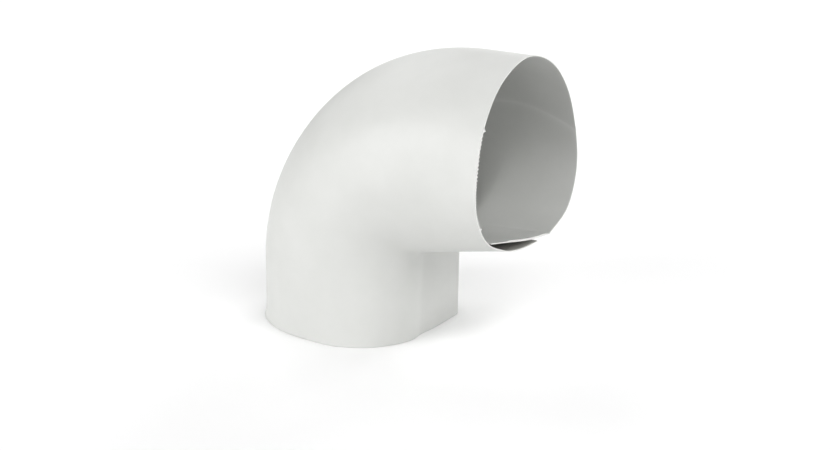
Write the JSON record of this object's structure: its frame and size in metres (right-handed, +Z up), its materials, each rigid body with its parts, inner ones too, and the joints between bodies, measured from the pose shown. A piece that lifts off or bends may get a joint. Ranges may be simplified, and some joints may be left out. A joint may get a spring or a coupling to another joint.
{
  "type": "pipe elbow cover",
  "caption": "Thin plastic elbow cover for a lagged pipe bend: a right-angle tube, open at both ends and slit along the inside of the bend, where its edges lap.",
  "frame": {"origin": "on the foot's rim at the heel (the outside of the bend), in the middle of the sheet's thickness", "axes": "+Z up along the foot's leg, +X out of the mouth, +Y towards the far side, whose lap lies inside"},
  "size_m": [0.1507, 0.1049, 0.1493],
  "materials": {
    "pvc_sheet": "satin, pale grey-white, faintly grained"
  },
  "bodies": {
    "near_half": {"near_wall": "pvc_sheet", "outer_lap": "pvc_sheet", "heel_band": "pvc_sheet"},
    "far_half": {"far_wall": "pvc_sheet", "inner_lap": "pvc_sheet"}
  },
  "joints": [
    {"name": "throat_opening", "type": "hinge", "parent": "near_half", "child": "far_half", "pos_m": [0.048, 0, 0.099], "axis": [0.7071, 0, 0.7071], "range_deg": [0, 60], "stiffness_Nm_per_rad": 0.1, "springref_deg": -8.59, "deforming": ["heel_band"]}
  ]
}
